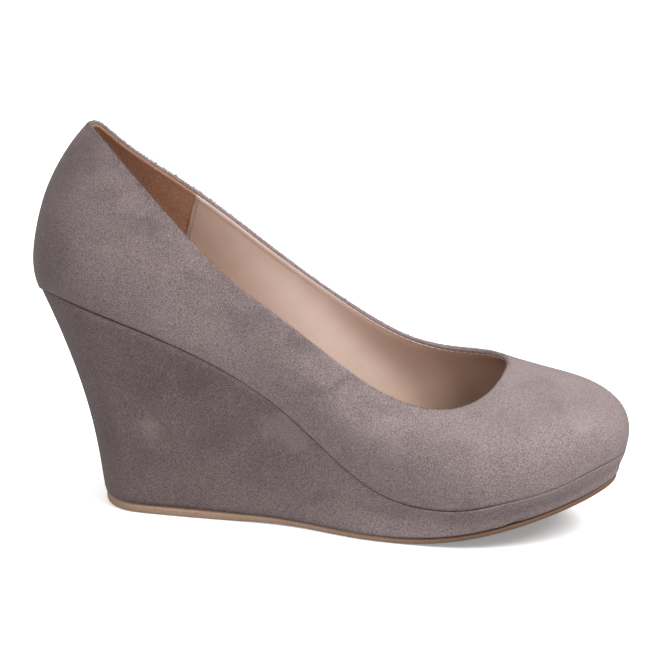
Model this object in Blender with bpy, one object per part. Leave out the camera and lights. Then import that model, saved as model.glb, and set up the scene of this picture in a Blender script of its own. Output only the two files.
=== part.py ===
"""Wedge pump, a right shoe: a low-cut suede upper on a covered wedge with a platform.

The shoe is laid out on its last. +X runs from heel to toe, the outer (lateral) side of the foot
is at -Y, and the floor is z = 0. Each closed outline is a loop of stations that starts at the
back of the heel, runs down the outer side to the toe tip and comes back along the inner side.
The upper spans from the seam, where it meets the wedge, up to the topline around the foot.
All lengths are metres, all angles degrees.
"""
import math
from collections import namedtuple

import bpy
import numpy as np

# Sizes of the last
LAST_LENGTH = 0.2317       # level run of the seam, from the back of the heel to the toe tip
BALL_WIDTH = 0.0790        # widest part of the seam
WAIST_WIDTH = 0.0500       # narrowest part of the seam, under the arch
HEEL_WIDTH = 0.0540        # seat of the heel
HEEL_HEIGHT = 0.0837       # floor to the seam at the back of the heel
TREAD_HEIGHT = 0.0153      # floor to the seam beside the ball
TOE_RISE = 0.0165          # seam at the toe tip, over the seam beside the ball
HEEL_ROUND = 0.0290        # run of the round back of the heel
TOE_ROUND = 0.0560         # run of the round toe
TOE_POWER = 2.15           # bluntness of the toe, 2 is an ellipse

# Sizes of the opening
BACK_HEIGHT = 0.0633       # seam to topline at the back of the heel
BACK_LEAN = 0.0201         # forward lean of the back at the topline
INSTEP_HEIGHT = 0.0422     # seam to topline at the throat
VAMP_LENGTH = 0.0474       # level run from the throat to the toe tip
OPENING_WIDTH = 0.0620     # widest part of the topline
ACHILLES_WIDTH = 0.0440    # topline across the back of the heel
BACK_ROUND = 0.0200        # run of the round back of the topline
THROAT_ROUND = 0.0400      # run of the round throat
THROAT_POWER = 2.80        # bluntness of the throat
INSTEP_SHIFT = 0.0040      # middle of the throat, towards the inner side
THROAT_TILT = 5.0          # throat falls towards the outer side

# Sizes of the upper's wall, the insole and the sole
WALL = 0.0018              # suede, stiffener and lining together
INSOLE_THICKNESS = 0.0025
OUTSOLE_THICKNESS = 0.0022
TOP_PIECE_EXTRA = 0.0013   # the outsole is this much thicker under the heel
HEEL_SETBACK = 0.0263      # back of the wedge at the floor, ahead of the seam
HEEL_HOLLOW = 0.0043       # sag of the wedge's back between seam and floor
TOE_SETBACK = 0.0026       # front of the platform at its base, behind the seam
BASE_ROUND = 0.0200        # run of the round back of the base
TOE_SPRING = 0.0218        # outsole under the toe tip, over the floor
WAIST_RISE = 0.0004        # outsole under the arch, over the floor
COVER_ROUND = 0.0012       # rounding of the wedge's edges
WEDGE_TUCK = 0.0011        # back of the wedge's top, inside the seam
OUTSOLE_INSET = 0.0007     # outsole's edge inside the wedge's
TREAD_ROUND = 0.0008       # rounding of the outsole's lower edge
INSOLE_ROUND = 0.0008      # rounding of the insole's upper edge
GAP = 0.0003               # clearance where pieces meet

# Places along the sole, as shares of LAST_LENGTH from the back of the heel
TOP_PIECE_END = 0.30       # the outsole keeps its full thickness up to here
TOP_PIECE_FADE = 0.50      # and has thinned down to the forefoot's here
ARCH_BACK = 0.34           # the tread leaves the floor under the arch
ARCH_FRONT = 0.52          # and meets it again under the ball
SPRING_START = 0.66        # the toe spring begins
SPRING_POWER = 1.62        # how late it rises, 1 is a straight slope

# Mesh density
SIDE_STATIONS = 48         # stations along each side, from heel to toe
RIB_ROWS = 12              # rows up the upper's wall
RIM_ROWS = 3               # rows over the rounded topline
WEDGE_ROWS = 5             # rows down the wedge's side
SHARP_ANGLE = 40.0         # edges bent further than this are shaded sharp

# Widths are shares of the size named in the row, from the middle line to each side
Width = namedtuple("Width", "along size lateral medial")

SEAM_WIDTHS = [            # along is a share of LAST_LENGTH
    Width(0.00, HEEL_WIDTH, 0.490, 0.490),
    Width(0.13, HEEL_WIDTH, 0.500, 0.500),
    Width(0.28, HEEL_WIDTH, 0.485, 0.450),
    Width(0.42, WAIST_WIDTH, 0.510, 0.400),
    Width(0.55, BALL_WIDTH, 0.385, 0.315),
    Width(0.66, BALL_WIDTH, 0.465, 0.450),
    Width(0.74, BALL_WIDTH, 0.505, 0.485),
    Width(0.86, BALL_WIDTH, 0.500, 0.480),
    Width(1.00, BALL_WIDTH, 0.480, 0.460),
]

BASE_WIDTHS = [            # along is a share of the base, from its back to its toe
    Width(0.00, HEEL_WIDTH, 0.495, 0.480),
    Width(0.12, HEEL_WIDTH, 0.510, 0.490),
    Width(0.28, HEEL_WIDTH, 0.515, 0.440),
    Width(0.42, WAIST_WIDTH, 0.585, 0.410),
    Width(0.55, BALL_WIDTH, 0.460, 0.385),
    Width(0.63, BALL_WIDTH, 0.477, 0.435),
    Width(0.74, BALL_WIDTH, 0.480, 0.445),
    Width(0.86, BALL_WIDTH, 0.450, 0.440),
    Width(1.00, BALL_WIDTH, 0.420, 0.415),
]

TOPLINE_WIDTHS = [         # along is a share of the opening, from its back to the throat
    Width(0.00, ACHILLES_WIDTH, 0.280, 0.270),
    Width(0.08, ACHILLES_WIDTH, 0.330, 0.320),
    Width(0.16, ACHILLES_WIDTH, 0.425, 0.415),
    Width(0.31, OPENING_WIDTH, 0.385, 0.385),
    Width(0.51, OPENING_WIDTH, 0.450, 0.450),
    Width(0.70, OPENING_WIDTH, 0.490, 0.500),
    Width(0.83, OPENING_WIDTH, 0.520, 0.520),
    Width(1.00, OPENING_WIDTH, 0.530, 0.520),
]

# Height of the seam: from the heel's height down to the tread, then up by the toe's rise
Height = namedtuple("Height", "along heel toe")

SEAM_HEIGHTS = [
    Height(0.000, 0.990, 0.0),
    Height(0.030, 1.002, 0.0),
    Height(0.075, 0.988, 0.0),
    Height(0.147, 0.915, 0.0),
    Height(0.232, 0.818, 0.0),
    Height(0.349, 0.650, 0.0),
    Height(0.417, 0.524, 0.0),
    Height(0.486, 0.355, 0.0),
    Height(0.557, 0.170, 0.0),
    Height(0.628, 0.041, 0.0),
    Height(0.700, 0.002, 0.0),
    Height(0.765, 0.000, 0.06),
    Height(0.829, 0.000, 0.27),
    Height(0.919, 0.000, 0.62),
    Height(1.000, 0.000, 1.00),
]

# Height of the topline: 0 at the throat, 1 at the back of the heel
Topline = namedtuple("Topline", "around lateral medial")

TOPLINE_HEIGHTS = [        # around is 0 at the back of the heel, 1 at the throat
    Topline(0.000, 1.000, 1.000),
    Topline(0.080, 0.997, 0.992),
    Topline(0.155, 0.955, 0.909),
    Topline(0.235, 0.841, 0.796),
    Topline(0.305, 0.702, 0.690),
    Topline(0.375, 0.534, 0.555),
    Topline(0.440, 0.390, 0.413),
    Topline(0.505, 0.274, 0.277),
    Topline(0.570, 0.151, 0.148),
    Topline(0.640, 0.032, 0.040),
    Topline(0.715, -0.038, -0.013),
    Topline(0.795, -0.056, -0.016),
    Topline(0.870, -0.038, -0.007),
    Topline(1.000, 0.000, 0.000),
]

# Curve of the ribs: lean is the angle from upright, outward at the seam and inward at the
# topline; pull is how far the rib follows it, as a share of the rib's own span
Rib = namedtuple("Rib", "around low_lean low_pull high_lean high_pull")

RIBS = [                   # around is 0 at the back of the heel, 1 at the toe tip
    Rib(0.00, 25.0, 0.22, 45.0, 0.37),
    Rib(0.15, 22.0, 0.23, 32.0, 0.36),
    Rib(0.30, 16.0, 0.28, 16.0, 0.33),
    Rib(0.50, 12.0, 0.30, 10.0, 0.33),
    Rib(0.65, 12.0, 0.34, 24.0, 0.36),
    Rib(0.80, 10.0, 0.40, 53.0, 0.43),
    Rib(0.92, 14.0, 0.42, 76.0, 0.49),
    Rib(1.00, 18.0, 0.42, 86.0, 0.52),
]

# Finishes: linear red, green and blue, and the roughness
Finish = namedtuple("Finish", "red green blue roughness")

SUEDE = Finish(0.235, 0.190, 0.175, 0.95)
INSOLE_LEATHER = Finish(0.520, 0.360, 0.270, 0.70)
OUTSOLE_RUBBER = Finish(0.360, 0.200, 0.110, 0.60)

# Share of its radius that a quarter round stands back at its middle
MID_ROUND = 1 - math.sqrt(0.5)


def smooth_curve(places, values, at):
    """Cubic spline through (places, values), level at both ends, read at the given places."""
    places = np.asarray(places, float)
    values = np.asarray(values, float)
    steps = np.diff(places)
    slopes = np.diff(values) / steps
    count = len(places)
    system = np.zeros((count, count))
    right = np.zeros(count)
    system[0, :2] = 2 * steps[0], steps[0]
    system[-1, -2:] = steps[-1], 2 * steps[-1]
    right[0] = 6 * slopes[0]
    right[-1] = -6 * slopes[-1]
    for row in range(1, count - 1):
        before, after = steps[row - 1], steps[row]
        system[row, row - 1:row + 2] = before, 2 * (before + after), after
        right[row] = 6 * (slopes[row] - slopes[row - 1])
    bends = np.linalg.solve(system, right)
    at = np.clip(np.asarray(at, float), places[0], places[-1])
    piece = np.clip(np.searchsorted(places, at) - 1, 0, count - 2)
    step = steps[piece]
    left_over = places[piece + 1] - at
    covered = at - places[piece]
    left_value = (values[piece] / step - bends[piece] * step / 6) * left_over
    right_value = (values[piece + 1] / step - bends[piece + 1] * step / 6) * covered
    curved = bends[piece] * left_over ** 3 + bends[piece + 1] * covered ** 3
    return left_value + right_value + curved / (6 * step)


def column(rows, name, at):
    """One named column of a table, read as a smooth curve along the table's first column."""
    return smooth_curve([row[0] for row in rows], [getattr(row, name) for row in rows], at)


def side_width(rows, side, at):
    """Half width on one side, each row taking its share of the size that it names."""
    widths = [row.size * getattr(row, side) for row in rows]
    return smooth_curve([row.along for row in rows], widths, at)


def around_side():
    """Share of the way around one side at each station: 0 at the heel, 1 at the toe."""
    return np.linspace(0, 1, SIDE_STATIONS + 1)


def around_loop():
    """The same share at each station of a whole loop, both sides alike."""
    one_side = around_side()
    return np.concatenate([one_side, one_side[-2:0:-1]])


def stations():
    """Share of the length at each station, crowded towards both ends, where outlines turn."""
    return (1 - np.cos(math.pi * around_side())) / 2


def rounded_ends(run, length, back, front, power):
    """Factor that closes an outline: a round back and a blunter front, 1 in between."""
    behind = np.clip(1 - run / back, 0, 1)
    ahead = np.clip((run - (length - front)) / front, 0, 1)
    return np.sqrt(1 - behind ** 2) * (1 - ahead ** power) ** (1 / power)


def closed_loop(run, lateral, medial, lateral_height, medial_height):
    """Loop of points: down the outer side from heel to toe, and back up the inner side."""
    outer_side = np.stack([run, lateral, lateral_height], axis=1)
    inner_side = np.stack([run, medial, medial_height], axis=1)
    return np.concatenate([outer_side, inner_side[-2:0:-1]])


def outward(loop):
    """Level unit vectors that point out of a loop."""
    along = np.roll(loop, -1, axis=0) - np.roll(loop, 1, axis=0)
    normal = np.stack([along[:, 1], -along[:, 0], np.zeros(len(loop))], axis=1)
    return normal / np.linalg.norm(normal, axis=1, keepdims=True)


def seam_height(run):
    """Height of the seam between upper and wedge, at a run along the last."""
    share = run / LAST_LENGTH
    from_heel = column(SEAM_HEIGHTS, "heel", share) * (HEEL_HEIGHT - TREAD_HEIGHT)
    return TREAD_HEIGHT + from_heel + column(SEAM_HEIGHTS, "toe", share) * TOE_RISE


def seam_loop(inset=0.0, lift=0.0):
    """The seam's outline, drawn in by an inset and raised by a lift."""
    share = stations()
    length = LAST_LENGTH - 2 * inset
    run = inset + share * length
    ends = rounded_ends(share * length, length, HEEL_ROUND - inset, TOE_ROUND - inset, TOE_POWER)
    at = run / LAST_LENGTH
    lateral = -(side_width(SEAM_WIDTHS, "lateral", at) - inset) * ends
    medial = (side_width(SEAM_WIDTHS, "medial", at) - inset) * ends
    height = seam_height(run) + lift
    return closed_loop(run, lateral, medial, height, height)


def topline_loop():
    """The edge of the opening: up at the back, low along the sides, round at the throat."""
    share = stations()
    length = LAST_LENGTH - VAMP_LENGTH - BACK_LEAN
    run = share * length
    ends = rounded_ends(run, length, BACK_ROUND, THROAT_ROUND, THROAT_POWER)
    middle = INSTEP_SHIFT * share ** 2
    lateral = middle - side_width(TOPLINE_WIDTHS, "lateral", share) * ends
    medial = middle + side_width(TOPLINE_WIDTHS, "medial", share) * ends
    throat = TREAD_HEIGHT + INSTEP_HEIGHT
    drop = HEEL_HEIGHT + BACK_HEIGHT - throat
    tilt = math.tan(math.radians(THROAT_TILT)) * share ** 2
    around = around_side()
    lateral_height = throat + drop * column(TOPLINE_HEIGHTS, "lateral", around) + tilt * lateral
    medial_height = throat + drop * column(TOPLINE_HEIGHTS, "medial", around) + tilt * medial
    return closed_loop(run + BACK_LEAN, lateral, medial, lateral_height, medial_height)


def upper_face():
    """Outer face of the upper: a grid of points, one curved rib at each station."""
    low = seam_loop()
    high = topline_loop()
    around = around_loop()
    span = np.linalg.norm(high - low, axis=1)
    up = np.array([0.0, 0.0, 1.0])

    def handle(lean_name, pull_name, loop, rise):
        lean = np.radians(column(RIBS, lean_name, around))[:, None]
        pull = (column(RIBS, pull_name, around) * span)[:, None]
        return loop + pull * (outward(loop) * np.sin(lean) + up * rise * np.cos(lean))

    low_handle = handle("low_lean", "low_pull", low, 1)
    high_handle = handle("high_lean", "high_pull", high, -1)
    rows = []
    for step in np.linspace(0, 1, RIB_ROWS + 1):
        rest = 1 - step
        row = rest ** 3 * low + 3 * rest ** 2 * step * low_handle
        row = row + 3 * rest * step ** 2 * high_handle + step ** 3 * high
        rows.append(row)
    return np.stack(rows)


def face_normals(grid):
    """Unit normals of a grid of rows, pointing out of the shoe."""
    along = np.roll(grid, -1, axis=1) - np.roll(grid, 1, axis=1)
    upward = np.gradient(grid, axis=0)
    normal = np.cross(along, upward)
    return normal / np.linalg.norm(normal, axis=2, keepdims=True)


def upper_section():
    """Rows around the upper's wall: up outside, over the rounded topline, down inside."""
    outside = upper_face()
    normal = face_normals(outside)
    inside = outside - WALL * normal
    tip = outside[-1] - outside[-2]
    tip = tip / np.linalg.norm(tip, axis=1, keepdims=True)
    middle = (outside[-1] + inside[-1]) / 2
    rim = []
    for step in range(1, RIM_ROWS + 1):
        angle = math.pi * step / (RIM_ROWS + 1)
        reach = math.cos(angle) * normal[-1] + math.sin(angle) * tip
        rim.append(middle + WALL / 2 * reach)
    return list(outside) + rim + list(inside[::-1])


def floor_height(run):
    """Underside of the outsole: flat at heel and ball, a slight arch, then the toe spring."""
    share = run / LAST_LENGTH
    arch = np.clip((share - ARCH_BACK) / (ARCH_FRONT - ARCH_BACK), 0, 1)
    toe = np.clip((share - SPRING_START) / (1 - SPRING_START), 0, 1)
    return WAIST_RISE * np.sin(math.pi * arch) ** 2 + TOE_SPRING * toe ** SPRING_POWER


def outsole_top(run):
    """Upper face of the outsole, which is thicker under the heel."""
    share = run / LAST_LENGTH
    heel = smooth_curve([TOP_PIECE_END, TOP_PIECE_FADE], [1.0, 0.0], share)
    return floor_height(run) + OUTSOLE_THICKNESS + TOP_PIECE_EXTRA * heel


def base_loop(inset, height_at):
    """Outline of the wedge's base, drawn in by an inset, at a height worked out from the run."""
    share = stations()
    full_length = LAST_LENGTH - TOE_SETBACK - HEEL_SETBACK
    length = full_length - 2 * inset
    run = inset + share * length
    ends = rounded_ends(share * length, length, BASE_ROUND - inset, TOE_ROUND - inset, TOE_POWER)
    at = run / full_length
    lateral = -(side_width(BASE_WIDTHS, "lateral", at) - inset) * ends
    medial = (side_width(BASE_WIDTHS, "medial", at) - inset) * ends
    run = run + HEEL_SETBACK
    height = height_at(run)
    return closed_loop(run, lateral, medial, height, height)


def wedge_section():
    """Rows down the wedge: rounded top edge, hollow side, rounded lower edge."""
    top = seam_loop(COVER_ROUND, -GAP)
    shoulder = seam_loop(0.0, -GAP - COVER_ROUND)
    foot = base_loop(0.0, lambda run: outsole_top(run) + GAP + COVER_ROUND)
    bottom = base_loop(COVER_ROUND, lambda run: outsole_top(run) + GAP)
    out = outward(shoulder)
    tuck = WEDGE_TUCK * np.clip(-out[:, :1], 0, 1) * out
    height = (shoulder - foot)[:, 2:]
    hollow = HEEL_HOLLOW * (height / HEEL_HEIGHT) * out
    rows = [top - tuck]
    for step in np.linspace(0, 1, WEDGE_ROWS + 1):
        row = (shoulder - tuck) * (1 - step) + foot * step
        depth = 4 * step * (1 - step)    # 1 halfway down, 0 at both edges
        rows.append(row - depth * hollow)
    rows.append(bottom)
    return rows[::-1]


def outsole_section():
    """Rows of the outsole: flat tread, rounded lower edge, upright side."""
    edge = OUTSOLE_INSET
    middle = TREAD_ROUND * MID_ROUND
    return [
        base_loop(edge + TREAD_ROUND, floor_height),
        base_loop(edge + middle, lambda run: floor_height(run) + middle),
        base_loop(edge, lambda run: floor_height(run) + TREAD_ROUND),
        base_loop(edge, outsole_top),
    ]


def insole_section():
    """Rows of the insole, which lies on the wedge inside the upper."""
    fit = WALL + 2 * GAP
    face = GAP + INSOLE_THICKNESS
    middle = INSOLE_ROUND * MID_ROUND
    return [
        seam_loop(fit, GAP),
        seam_loop(fit, face - INSOLE_ROUND),
        seam_loop(fit + middle, face - middle),
        seam_loop(fit + INSOLE_ROUND, face),
    ]


def ring_faces(rows, count, closed):
    """Quads between neighbouring loops; a closed section also joins the last loop to the first."""
    faces = []
    for row in range(rows if closed else rows - 1):
        low = row * count
        high = (row + 1) % rows * count
        for place in range(count):
            after = (place + 1) % count
            faces.append((low + place, low + after, high + after, high + place))
    return faces


def cap_faces(first, count, facing_up):
    """Faces across a loop, from each station on the outer side to its twin on the inner side."""
    half = count // 2
    faces = []
    for place in range(half):
        corners = [place, place + 1, count - place - 1, (count - place) % count]
        if place == half - 1:
            corners = [place, place + 1, count - place]
        corners = [first + corner for corner in dict.fromkeys(corners)]
        faces.append(tuple(corners if facing_up else corners[::-1]))
    return faces


def add_piece(name, rows, capped, finish):
    """One closed piece from a stack of loops, with its own material."""
    count = len(rows[0])
    points = np.concatenate(rows)
    faces = ring_faces(len(rows), count, closed=not capped)
    if capped:
        faces += cap_faces(0, count, facing_up=False)
        faces += cap_faces((len(rows) - 1) * count, count, facing_up=True)
    mesh = bpy.data.meshes.new(name)
    mesh.from_pydata(points.tolist(), [], faces)
    mesh.shade_smooth()
    mesh.set_sharp_from_angle(angle=math.radians(SHARP_ANGLE))
    material = bpy.data.materials.new(name + "_finish")
    material.use_nodes = True
    shader = material.node_tree.nodes["Principled BSDF"]
    shader.inputs["Base Color"].default_value = (finish.red, finish.green, finish.blue, 1.0)
    shader.inputs["Roughness"].default_value = finish.roughness
    mesh.materials.append(material)
    piece = bpy.data.objects.new(name, mesh)
    bpy.context.collection.objects.link(piece)
    return piece


def build():
    """Clear the scene, make the four pieces and centre the shoe over the origin."""
    for thing in list(bpy.data.objects):
        bpy.data.objects.remove(thing, do_unlink=True)
    pieces = [
        add_piece("upper", upper_section(), False, SUEDE),
        add_piece("wedge", wedge_section(), True, SUEDE),
        add_piece("outsole", outsole_section(), True, OUTSOLE_RUBBER),
        add_piece("insole", insole_section(), True, INSOLE_LEATHER),
    ]
    corners = np.concatenate([np.array(piece.bound_box) for piece in pieces])
    middle = (corners.min(axis=0) + corners.max(axis=0)) / 2
    last = bpy.data.objects.new("last_axis", None)
    last.location = (-middle[0], -middle[1], 0.0)
    bpy.context.collection.objects.link(last)
    for piece in pieces:
        piece.parent = last


build()
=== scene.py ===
# %% [markdown]
# A wedge pump, dressed. The CAD model already has the true shape of its four solids: the upper, the
# wedge, the insole and the outsole. What is missing is what a hand feels on the real shoe: brushed
# suede, a smooth lining with its stitched edge, a suede heel lining and a rubber sole. This lesson
# builds those as thin skins over the solids, so that nothing changes its size.

# %% Load the solids
import math
import random

import bmesh
import bpy
from mathutils import Matrix, Vector, noise
from mathutils.bvhtree import BVHTree
from mathutils.kdtree import KDTree


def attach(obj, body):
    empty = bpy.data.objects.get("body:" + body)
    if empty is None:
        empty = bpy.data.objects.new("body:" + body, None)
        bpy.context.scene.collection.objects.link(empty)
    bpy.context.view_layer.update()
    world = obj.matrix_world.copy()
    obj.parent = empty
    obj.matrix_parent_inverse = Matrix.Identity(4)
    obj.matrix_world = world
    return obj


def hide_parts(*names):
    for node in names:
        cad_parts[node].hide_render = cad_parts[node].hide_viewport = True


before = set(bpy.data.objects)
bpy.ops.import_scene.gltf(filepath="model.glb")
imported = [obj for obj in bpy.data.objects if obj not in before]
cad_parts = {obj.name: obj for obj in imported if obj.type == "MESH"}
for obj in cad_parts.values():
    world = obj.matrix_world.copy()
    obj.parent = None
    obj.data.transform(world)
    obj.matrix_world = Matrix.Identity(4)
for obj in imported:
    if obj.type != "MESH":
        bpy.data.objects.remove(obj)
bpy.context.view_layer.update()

# %% [markdown]
# Every size below is in metres. +X runs from the heel to the toe, the outer side of the foot is at
# -Y and the floor is z = 0. The thin layers take their thickness from real shoemaking: suede of
# 0.7 mm, turned a little way inwards over the topline, and a lining of 0.6 mm. A size that several
# pieces share is named once, so that they still fit each other when it changes.

# %% Sizes of the thin layers
SUEDE_THICKNESS = 0.0007
LINING_THICKNESS = 0.0006
RIM_DROP = 0.0014    # from the top of the rim to the row where the wall's inside begins
FOLD_DEPTH = 0.0032    # the suede turns this far down inside the topline
print("suede, lining and fold, mm:", 1000 * SUEDE_THICKNESS, 1000 * LINING_THICKNESS, 1000 * FOLD_DEPTH)

# %% [markdown]
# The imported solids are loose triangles. A smooth skin needs the four-sided faces back, because
# Subdivision Surface makes lumps on long triangles. Welding the doubles and then joining the
# triangles does it, and topology_influence asks for an even grid rather than for the squarest pairs.

# %% Get a solid's faces back
WELD = 0.00001    # corners closer than this are one


def merged_copy(node):
    """A bmesh of a CAD node, welded, with its triangles paired into four-sided faces."""
    shape = bmesh.new()
    shape.from_mesh(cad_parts[node].data)
    shape.edges.layers.float.new("crease_edge")    # before any face is held: a new layer moves them
    bmesh.ops.remove_doubles(shape, verts=shape.verts, dist=WELD)
    bmesh.ops.join_triangles(
        shape, faces=shape.faces, angle_face_threshold=math.pi, angle_shape_threshold=math.pi,
        topology_influence=2.0,
    )
    shape.normal_update()
    four_sided = sum(len(face.verts) == 4 for face in shape.faces)
    print(node, "faces:", len(shape.faces), "of which four-sided:", four_sided)
    return shape


# %% [markdown]
# A few small tools work on the skins. They find the corners of a solid and the edges in a row, keep
# chosen edges crisp under Subdivision Surface, and throw away all but the rows that a skin needs.
# Deleting from a copy is safer than building a new sheet: what is left still lies on the solid.

# %% Tools for the skins
CORNER_ANGLE = math.radians(60)    # an edge bent further than this is a corner of the solid


def corner_edges(shape):
    """The edges of a bmesh where the solid has a corner."""
    return [edge for edge in shape.edges if edge.calc_face_angle(0.0) > CORNER_ANGLE]


def edges_within(edges, verts):
    """Those of the edges that have both ends among the vertices."""
    among = set(verts)
    return [edge for edge in edges if set(edge.verts) <= among]


def crease_edges(shape, edges, value):
    """Sets how crisp edges stay: 0 is round and 1 is sharp."""
    layer = shape.edges.layers.float["crease_edge"]
    for edge in edges:
        edge[layer] = value


def keep_rows(shape, rows):
    """Deletes every vertex that is in none of the rows."""
    kept = {vert for row in rows for vert in row}
    bmesh.ops.delete(shape, geom=[vert for vert in shape.verts if vert not in kept], context="VERTS")


print("corner angle, degrees:", round(math.degrees(CORNER_ANGLE)))

# %% [markdown]
# Each finished piece gets the same last steps: a mesh at the origin, smooth shading, its material
# and the body it rides on. Modifiers stay live, with the same level in the viewport and in the render.

# %% Finish a piece
def link_object(name, data):
    """A new object that is linked to the scene."""
    made = bpy.data.objects.new(name, data)
    bpy.context.collection.objects.link(made)
    return made


def add_piece(name, shape, material, levels=0, thickness=0.0):
    """A named object from a bmesh, with Subdivision Surface and Solidify if they are asked for."""
    mesh = bpy.data.meshes.new(name)
    shape.to_mesh(mesh)
    shape.free()
    mesh.shade_smooth()
    mesh.materials.append(material)
    piece = link_object(name, mesh)
    if levels:
        skin = piece.modifiers.new("skin", "SUBSURF")
        skin.levels = skin.render_levels = levels
    if thickness:
        wall = piece.modifiers.new("wall", "SOLIDIFY")
        wall.thickness = thickness
        wall.offset = -1.0
    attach(piece, "root")
    print(name, "faces:", len(mesh.polygons))
    return piece


# %% [markdown]
# Materials come next. Tiny helpers keep the node code readable: they make a node with its settings,
# link pairs of sockets, add up outputs and mix colours. A Mix node has the same socket names for
# numbers and for colours, so those are picked by place.

# %% Node helpers
MIX_A, MIX_B, MIX_RESULT = 6, 7, 2    # the colour sockets of a Mix node


def add_node(tree, kind, inputs=None, **settings):
    """One shader node with its settings and its unlinked input values."""
    made = tree.nodes.new(kind)
    for name, value in settings.items():
        setattr(made, name, value)
    for name, value in (inputs or {}).items():
        made.inputs[name].default_value = value
    return made


def wire(tree, *pairs):
    """Links each output to the input that it feeds."""
    for outlet, inlet in pairs:
        tree.links.new(outlet, inlet)


def sum_of(tree, outlets):
    """The outputs added up, as one output."""
    total = outlets[0]
    for outlet in outlets[1:]:
        both = add_node(tree, "ShaderNodeMath", operation="ADD")
        wire(tree, (total, both.inputs[0]), (outlet, both.inputs[1]))
        total = both.outputs[0]
    return total


def mix_colours(tree, inputs=None, blend="MIX"):
    """A Mix node for two colours."""
    return add_node(tree, "ShaderNodeMix", inputs, data_type="RGBA", blend_type=blend)


# %% [markdown]
# A shader group is a node tree with named sockets, and a material is one with a Principled BSDF in
# it. What is the same all over a surface goes straight on the shader's own sockets, because a value
# that comes through a link is harder to read and is lost when the model is exported.

# %% Open a group or a material
def new_group(name, inputs, outputs):
    """An empty shader group with named sockets, and its two end nodes."""
    group = bpy.data.node_groups.new(name, "ShaderNodeTree")
    for label, kind, value in inputs:
        socket = group.interface.new_socket(label, in_out="INPUT", socket_type=kind)
        socket.default_value = value
    for label, kind in outputs:
        group.interface.new_socket(label, in_out="OUTPUT", socket_type=kind)
    return group, group.nodes.new("NodeGroupInput"), group.nodes.new("NodeGroupOutput")


def new_material(name, values):
    """A material, its node tree and its Principled BSDF with these values on its sockets."""
    material = bpy.data.materials.new(name)
    material.use_nodes = True
    shader = material.node_tree.nodes["Principled BSDF"]
    for label, value in values.items():
        shader.inputs[label].default_value = value
    return material, material.node_tree, shader


# %% [markdown]
# Brushed suede is millions of short fibres. Where they lie one way it is light, where they lie the
# other way it is dark, so it never has one colour. Three noises of different sizes give that: a
# grain as fine as the fibres, a mottle of a few millimetres and soft clouds as wide as a thumb. The
# grain is combed down and forwards. The heel lining uses the group too, with its own colours.

# %% Suede nap group
COMB_ANGLE = -math.pi / 4    # turns the combed way, down and towards the toe, onto X
COMB_SQUEEZE = 0.55    # positions shrink to this along it, so that a grain is longer there
NAP_LAYERS = (("Grain", 1, 2.0), ("Mottle", 12, 3.0), ("Clouds", 62, 3.0))    # size in grains, detail


def make_nap_group():
    """Colour and height of a brushed nap."""
    group, entry, leave = new_group(
        "brushed_nap",
        [("Light", "NodeSocketColor", (0.4, 0.3, 0.3, 1)), ("Dark", "NodeSocketColor", (0.1, 0.1, 0.1, 1)),
         ("Grain Size", "NodeSocketFloat", 0.0005), ("Grain", "NodeSocketFloat", 0.5),
         ("Mottle", "NodeSocketFloat", 0.5), ("Clouds", "NodeSocketFloat", 0.5),
         ("Balance", "NodeSocketFloat", 0.5)],
        [("Colour", "NodeSocketColor"), ("Height", "NodeSocketFloat")],
    )
    place = add_node(group, "ShaderNodeTexCoord").outputs["Object"]
    turned = add_node(group, "ShaderNodeVectorRotate", {"Axis": (0, 1, 0), "Angle": COMB_ANGLE})
    combed = add_node(group, "ShaderNodeVectorMath", {1: (COMB_SQUEEZE, 1.0, 1.0)}, operation="MULTIPLY")
    wire(group, (place, turned.inputs["Vector"]), (turned.outputs["Vector"], combed.inputs[0]))
    shares = []
    for label, times, detail in NAP_LAYERS:
        size = add_node(group, "ShaderNodeMath", {1: times}, operation="MULTIPLY")
        scale = add_node(group, "ShaderNodeMath", {0: 1.0}, operation="DIVIDE")
        wave = add_node(group, "ShaderNodeTexNoise", {"Detail": detail, "Roughness": 0.6, "Distortion": 0.3})
        centred = add_node(group, "ShaderNodeMath", {1: 0.5}, operation="SUBTRACT")
        share = add_node(group, "ShaderNodeMath", operation="MULTIPLY")
        wire(
            group,
            (entry.outputs["Grain Size"], size.inputs[0]),
            (size.outputs[0], scale.inputs[1]),
            (scale.outputs[0], wave.inputs["Scale"]),
            (combed.outputs[0] if label == "Grain" else place, wave.inputs["Vector"]),
            (wave.outputs["Fac"], centred.inputs[0]),
            (centred.outputs[0], share.inputs[0]),
            (entry.outputs[label], share.inputs[1]),
        )
        if label == "Grain":
            wire(group, (wave.outputs["Fac"], leave.inputs["Height"]))
        shares.append(share.outputs[0])
    level = add_node(group, "ShaderNodeMath", operation="ADD", use_clamp=True)
    mix = mix_colours(group)
    wire(
        group,
        (sum_of(group, shares), level.inputs[0]),
        (entry.outputs["Balance"], level.inputs[1]),
        (level.outputs[0], mix.inputs["Factor"]),
        (entry.outputs["Dark"], mix.inputs[MIX_A]),
        (entry.outputs["Light"], mix.inputs[MIX_B]),
        (mix.outputs[MIX_RESULT], leave.inputs["Colour"]),
    )
    return group


nap_group = make_nap_group()
print("nap group nodes:", len(nap_group.nodes))

# %% [markdown]
# A shoe that has been handled has larger marks too, where a hand or a brush has pressed the nap
# down. A noise can't put them in the right places, so each one is a soft ellipsoid, placed one by one
# in the shoe's own millimetres. The position is stirred by a noise first, so that no edge is round.

# %% Brush mark group
STIR = 0.028    # the noise shifts a mark's edge by up to half of this each way


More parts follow.
